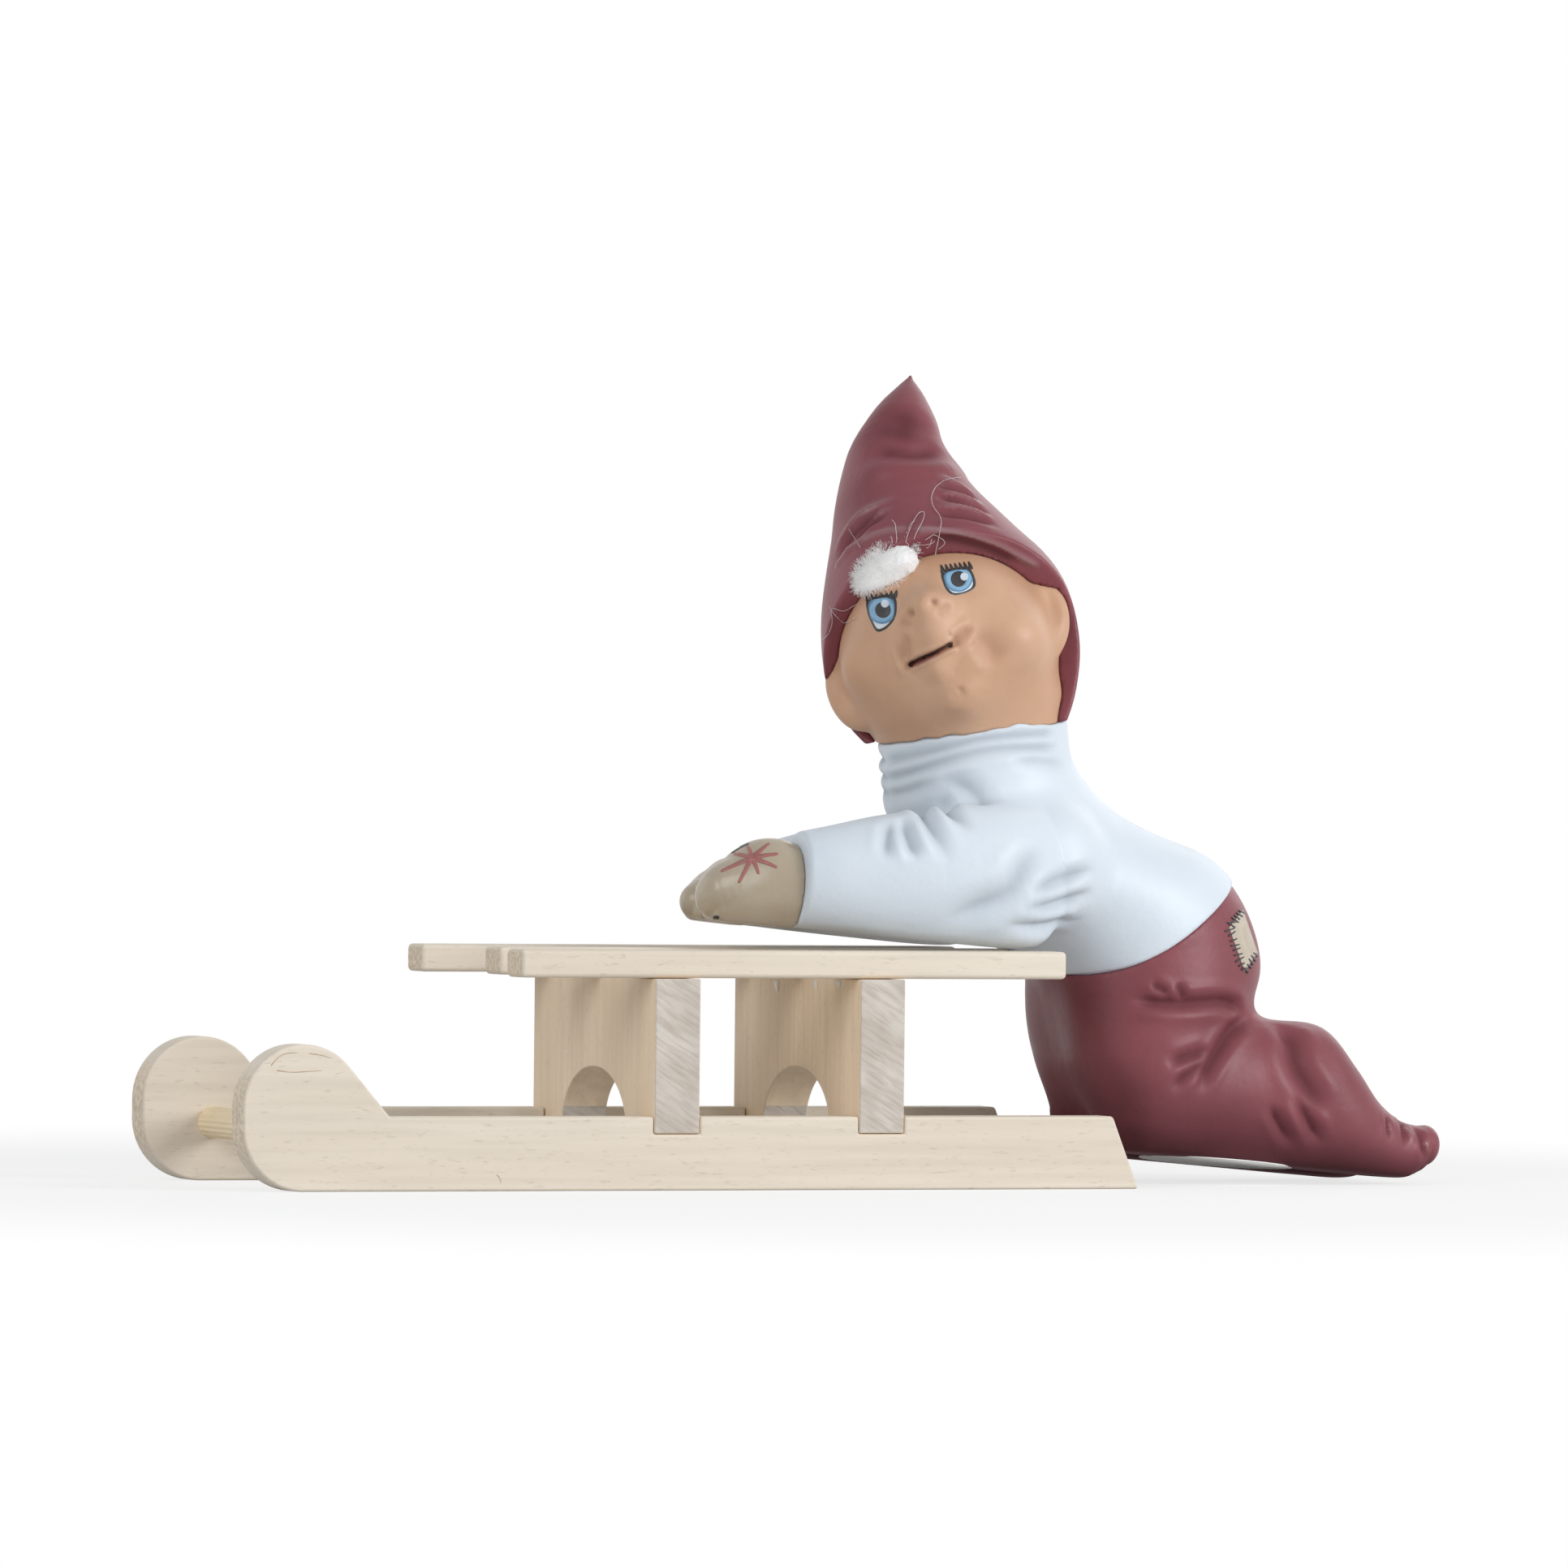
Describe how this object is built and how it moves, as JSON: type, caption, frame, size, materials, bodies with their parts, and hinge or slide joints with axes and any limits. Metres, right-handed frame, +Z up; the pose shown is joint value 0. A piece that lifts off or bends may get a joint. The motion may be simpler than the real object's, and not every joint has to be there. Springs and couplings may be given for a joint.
{
  "type": "nisse figure leaning on a sled",
  "caption": "Hand-painted earthenware nisse in hat and sweater, kneeling on its toes and leaning its forearms on the slatted deck of a small wooden sled.",
  "frame": {"origin": "on the floor under the middle of the part's length and width", "axes": "+X from the sled's nose to the figure's toes, +Y to the figure's right hand, +Z up"},
  "size_m": [0.341, 0.0874, 0.211],
  "materials": {
    "sled_wood": "sanded, unfinished pale hardwood with fine pores",
    "bolster_wood": "planed softwood board with sawn grey ends",
    "burgundy_paint": "satin burgundy paint on earthenware",
    "white_paint": "satin pale blue-white paint on earthenware",
    "skin_paint": "satin tan paint on earthenware",
    "mitten_paint": "semi-gloss beige paint on earthenware",
    "wool": "loose white wool fibre"
  },
  "bodies": {
    "sled": {"runner_left": "sled_wood", "runner_right": "sled_wood", "bolster_front": "bolster_wood", "bolster_rear": "bolster_wood", "slat_left": "sled_wood", "slat_middle": "sled_wood", "slat_right": "sled_wood", "nose_dowel": "sled_wood"},
    "figure": {"sweater_body": "white_paint", "sleeve_left": "white_paint", "sleeve_right": "white_paint", "mitten_left": "mitten_paint", "mitten_right": "mitten_paint", "trousers_seat": "burgundy_paint", "leg_left": "burgundy_paint", "leg_right": "burgundy_paint", "head": "skin_paint", "hat": "burgundy_paint", "wool_tuft": "wool"}
  },
  "joints": [
    {"name": "figure_lift", "type": "slide", "parent": "sled", "child": "figure", "axis": [0, 0, 1], "range_m": [0, 0.07]}
  ]
}
